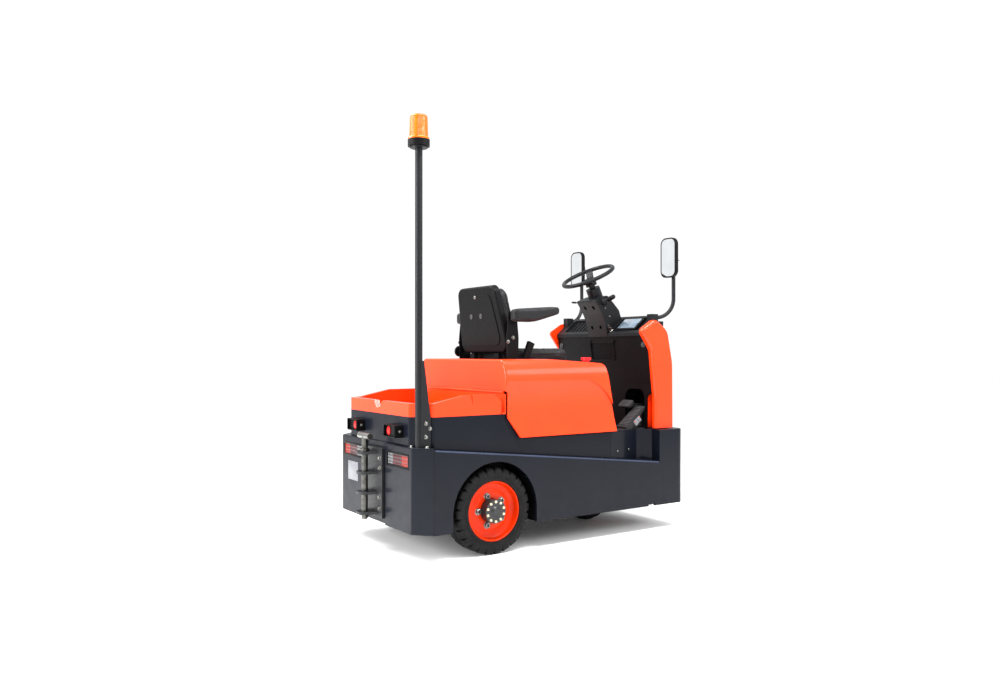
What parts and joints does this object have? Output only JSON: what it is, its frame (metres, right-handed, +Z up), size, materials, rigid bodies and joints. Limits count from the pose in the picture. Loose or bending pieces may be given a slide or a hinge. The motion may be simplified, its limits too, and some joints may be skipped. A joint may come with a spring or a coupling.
{
  "type": "electric three-wheel tow tractor",
  "caption": "Seated electric tow tractor with a cargo tray, tilting seat hood, stepped tow hitch with a lift-out pin, step-through cab, mirrors and a beacon on a pole.",
  "frame": {"origin": "on the floor under the middle of the overall length and width", "axes": "+X forward, +Y to the driver's left, +Z up"},
  "size_m": [1.948, 1.046, 2.274],
  "materials": {
    "orange_cover": "gloss moulded, bright orange",
    "dark_body": "satin anthracite paint",
    "frame_black": "matt black paint",
    "black_plastic": "fine grained moulding",
    "battery_case": "plain case",
    "tyre": "black rubber",
    "wheel_red": "gloss orange red paint",
    "hub_dark": "dark coated casting",
    "seat_vinyl": "grained vinyl",
    "bare_steel": "worn steel",
    "mirror_face": "silvered",
    "lens_clear": "clear ribbed lens",
    "lens_red": "red ribbed lens",
    "lens_amber": "amber lens",
    "button_red": "gloss red",
    "pedal_rubber": "ribbed rubber"
  },
  "bodies": {
    "chassis": {"chassis_frame": "frame_black", "rear_bumper": "dark_body", "side_skirt_left": "dark_body", "side_skirt_right": "dark_body", "front_bumper": "dark_body", "rear_body": "dark_body", "battery_side_panels": "dark_body", "cab_floor": "dark_body", "cargo_tray": "orange_cover", "tray_bulkhead": "orange_cover", "battery_block": "battery_case", "front_cowl": "orange_cover", "knee_panel": "black_plastic", "dashboard": "black_plastic", "headlamp_panel": "black_plastic", "headlamp_lenses": "lens_clear", "steering_column": "black_plastic", "column_levers": "black_plastic", "accelerator_pedal": "pedal_rubber", "brake_pedal": "pedal_rubber", "rear_axle": "frame_black", "mirror_arms": "frame_black", "mirror_heads": "black_plastic", "mirror_glass": "mirror_face", "beacon_pole": "frame_black", "beacon_base": "black_plastic", "beacon_lens": "lens_amber", "tail_lamp_bezels": "black_plastic", "tail_lamp_clear": "lens_clear", "tail_lamp_red": "lens_red", "tail_lamp_amber": "lens_amber", "inching_switches": "black_plastic", "inching_buttons": "button_red", "hitch_bracket": "frame_black"},
    "rear_wheel_left": {"rear_tyre_left": "tyre", "rear_rim_left": "wheel_red", "rear_hub_left": "hub_dark"},
    "rear_wheel_right": {"rear_tyre_right": "tyre", "rear_rim_right": "wheel_red", "rear_hub_right": "hub_dark"},
    "steer_fork": {"steer_fork": "frame_black"},
    "front_wheel": {"front_tyre": "tyre", "front_rim": "wheel_red"},
    "steering_wheel": {"steering_wheel": "black_plastic"},
    "tow_pin": {"tow_pin": "bare_steel"},
    "seat_hood": {"seat_hood": "orange_cover", "seat_base": "frame_black", "seat_cushion": "seat_vinyl", "seat_back_shell": "black_plastic", "seat_back_cushion": "seat_vinyl", "belt_parts": "black_plastic", "emergency_stop": "button_red"},
    "armrest_left": {"armrest_left": "seat_vinyl"},
    "armrest_right": {"armrest_right": "seat_vinyl"}
  },
  "joints": [
    {"name": "rear_wheel_left_spin", "type": "hinge", "parent": "chassis", "child": "rear_wheel_left", "pos_m": [-0.418, 0.43, 0.23], "axis": [0, 1, 0], "continuous": true},
    {"name": "rear_wheel_right_spin", "type": "hinge", "parent": "chassis", "child": "rear_wheel_right", "pos_m": [-0.418, -0.43, 0.23], "axis": [0, 1, 0], "continuous": true},
    {"name": "front_steer", "type": "hinge", "parent": "chassis", "child": "steer_fork", "pos_m": [0.604, 0, 0.2], "axis": [0, 0, 1], "range_deg": [-75, 75]},
    {"name": "front_wheel_spin", "type": "hinge", "parent": "steer_fork", "child": "front_wheel", "pos_m": [0.604, 0, 0.2], "axis": [0, 1, 0], "continuous": true},
    {"name": "steering_wheel_turn", "type": "hinge", "parent": "chassis", "child": "steering_wheel", "pos_m": [0.636, 0, 1.56], "axis": [-0.4384, 0, 0.8988], "range_deg": [-720, 720]},
    {"name": "tow_pin_lift", "type": "slide", "parent": "chassis", "child": "tow_pin", "axis": [0, 0, 1], "range_m": [0, 0.355]},
    {"name": "hood_tilt", "type": "hinge", "parent": "chassis", "child": "seat_hood", "pos_m": [-0.328, 0, 0.852], "axis": [0, -1, 0], "range_deg": [0, 65]},
    {"name": "armrest_left_fold", "type": "hinge", "parent": "seat_hood", "child": "armrest_left", "pos_m": [-0.138, 0.29, 1.278], "axis": [0, -1, 0], "range_deg": [0, 90]},
    {"name": "armrest_right_fold", "type": "hinge", "parent": "seat_hood", "child": "armrest_right", "pos_m": [-0.138, -0.29, 1.278], "axis": [0, -1, 0], "range_deg": [0, 90]}
  ],
  "couplings": [
    {"joint": "steering_wheel_turn", "follows": "front_steer", "ratio": 9.6}
  ]
}
